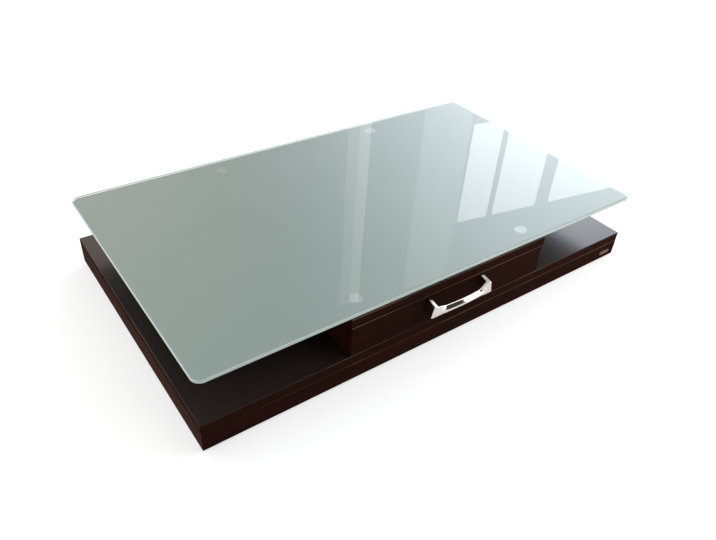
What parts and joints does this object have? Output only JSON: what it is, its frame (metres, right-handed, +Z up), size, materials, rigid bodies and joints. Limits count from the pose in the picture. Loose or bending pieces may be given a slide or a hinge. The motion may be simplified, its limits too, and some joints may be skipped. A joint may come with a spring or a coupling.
{
  "type": "low coffee table",
  "caption": "Low coffee table with a thick dark wooden base, a drawer cabinet in its middle and a satin glass top that floats on metal discs.",
  "frame": {"origin": "On the floor, in the middle of the table's box, handle included.", "axes": "+Z up, +X along the table's length to the right as seen from the drawer's side, -Y towards the drawer's side."},
  "size_m": [1.2, 0.714, 0.186],
  "materials": {
    "dark_wood": "dark stained veneer under gloss lacquer",
    "drawer_board": "lacquered birch",
    "plain_wood": "bare beech",
    "chrome": "polished",
    "disc_metal": "turned",
    "runner_steel": "zinc plated",
    "ball_steel": "polished",
    "screw_steel": "zinc plated",
    "glide_plastic": "moulded",
    "satin_glass": "satin underside, polished face and edges"
  },
  "bodies": {
    "table": {"back_apron": "dark_wood", "badge": "chrome", "base_top_board": "dark_wood", "cabinet_back": "dark_wood", "cabinet_dowels": "plain_wood", "cabinet_left_side": "dark_wood", "cabinet_right_side": "dark_wood", "cabinet_screws": "screw_steel", "cabinet_top": "dark_wood", "corner_block_back_left": "plain_wood", "corner_block_back_right": "plain_wood", "corner_block_front_left": "plain_wood", "corner_block_front_right": "plain_wood", "disc_bolts": "screw_steel", "front_apron": "dark_wood", "glass_disc_back_left": "disc_metal", "glass_disc_back_right": "disc_metal", "glass_disc_front_left": "disc_metal", "glass_disc_front_right": "disc_metal", "glass_top": "satin_glass", "glide_back_left": "glide_plastic", "glide_back_right": "glide_plastic", "glide_front_left": "glide_plastic", "glide_front_right": "glide_plastic", "glide_screws": "screw_steel", "left_apron": "dark_wood", "left_cross_rail": "plain_wood", "left_outer_rail": "runner_steel", "right_apron": "dark_wood", "right_cross_rail": "plain_wood", "right_outer_rail": "runner_steel", "runner_cabinet_screws": "screw_steel"},
    "drawer": {"drawer_front": "dark_wood", "drawer_inner_front": "drawer_board", "drawer_left_side": "drawer_board", "drawer_right_side": "drawer_board", "drawer_back": "drawer_board", "drawer_bottom": "drawer_board", "drawer_dowels": "plain_wood", "drawer_front_screws": "screw_steel", "handle": "chrome", "handle_screws": "screw_steel", "left_inner_rail": "runner_steel", "right_inner_rail": "runner_steel", "runner_drawer_screws": "screw_steel"},
    "left_middle": {"left_middle_rail": "runner_steel"},
    "left_outer_carriage": {"left_outer_cage": "runner_steel", "left_outer_balls": "ball_steel"},
    "left_inner_carriage": {"left_inner_cage": "runner_steel", "left_inner_balls": "ball_steel"},
    "right_middle": {"right_middle_rail": "runner_steel"},
    "right_outer_carriage": {"right_outer_cage": "runner_steel", "right_outer_balls": "ball_steel"},
    "right_inner_carriage": {"right_inner_cage": "runner_steel", "right_inner_balls": "ball_steel"}
  },
  "joints": [
    {"name": "drawer_slide", "type": "slide", "parent": "table", "child": "drawer", "axis": [0, -1, 0], "range_m": [0, 0.45]},
    {"name": "left_middle_slide", "type": "slide", "parent": "table", "child": "left_middle", "axis": [0, -1, 0], "range_m": [0, 0.225]},
    {"name": "left_outer_carriage_slide", "type": "slide", "parent": "table", "child": "left_outer_carriage", "axis": [0, -1, 0], "range_m": [0, 0.1125]},
    {"name": "left_inner_carriage_slide", "type": "slide", "parent": "table", "child": "left_inner_carriage", "axis": [0, -1, 0], "range_m": [0, 0.3375]},
    {"name": "right_middle_slide", "type": "slide", "parent": "table", "child": "right_middle", "axis": [0, -1, 0], "range_m": [0, 0.225]},
    {"name": "right_outer_carriage_slide", "type": "slide", "parent": "table", "child": "right_outer_carriage", "axis": [0, -1, 0], "range_m": [0, 0.1125]},
    {"name": "right_inner_carriage_slide", "type": "slide", "parent": "table", "child": "right_inner_carriage", "axis": [0, -1, 0], "range_m": [0, 0.3375]}
  ],
  "couplings": [
    {"joint": "left_middle_slide", "follows": "drawer_slide", "ratio": 0.5},
    {"joint": "left_outer_carriage_slide", "follows": "drawer_slide", "ratio": 0.25},
    {"joint": "left_inner_carriage_slide", "follows": "drawer_slide", "ratio": 0.75},
    {"joint": "right_middle_slide", "follows": "drawer_slide", "ratio": 0.5},
    {"joint": "right_outer_carriage_slide", "follows": "drawer_slide", "ratio": 0.25},
    {"joint": "right_inner_carriage_slide", "follows": "drawer_slide", "ratio": 0.75}
  ]
}
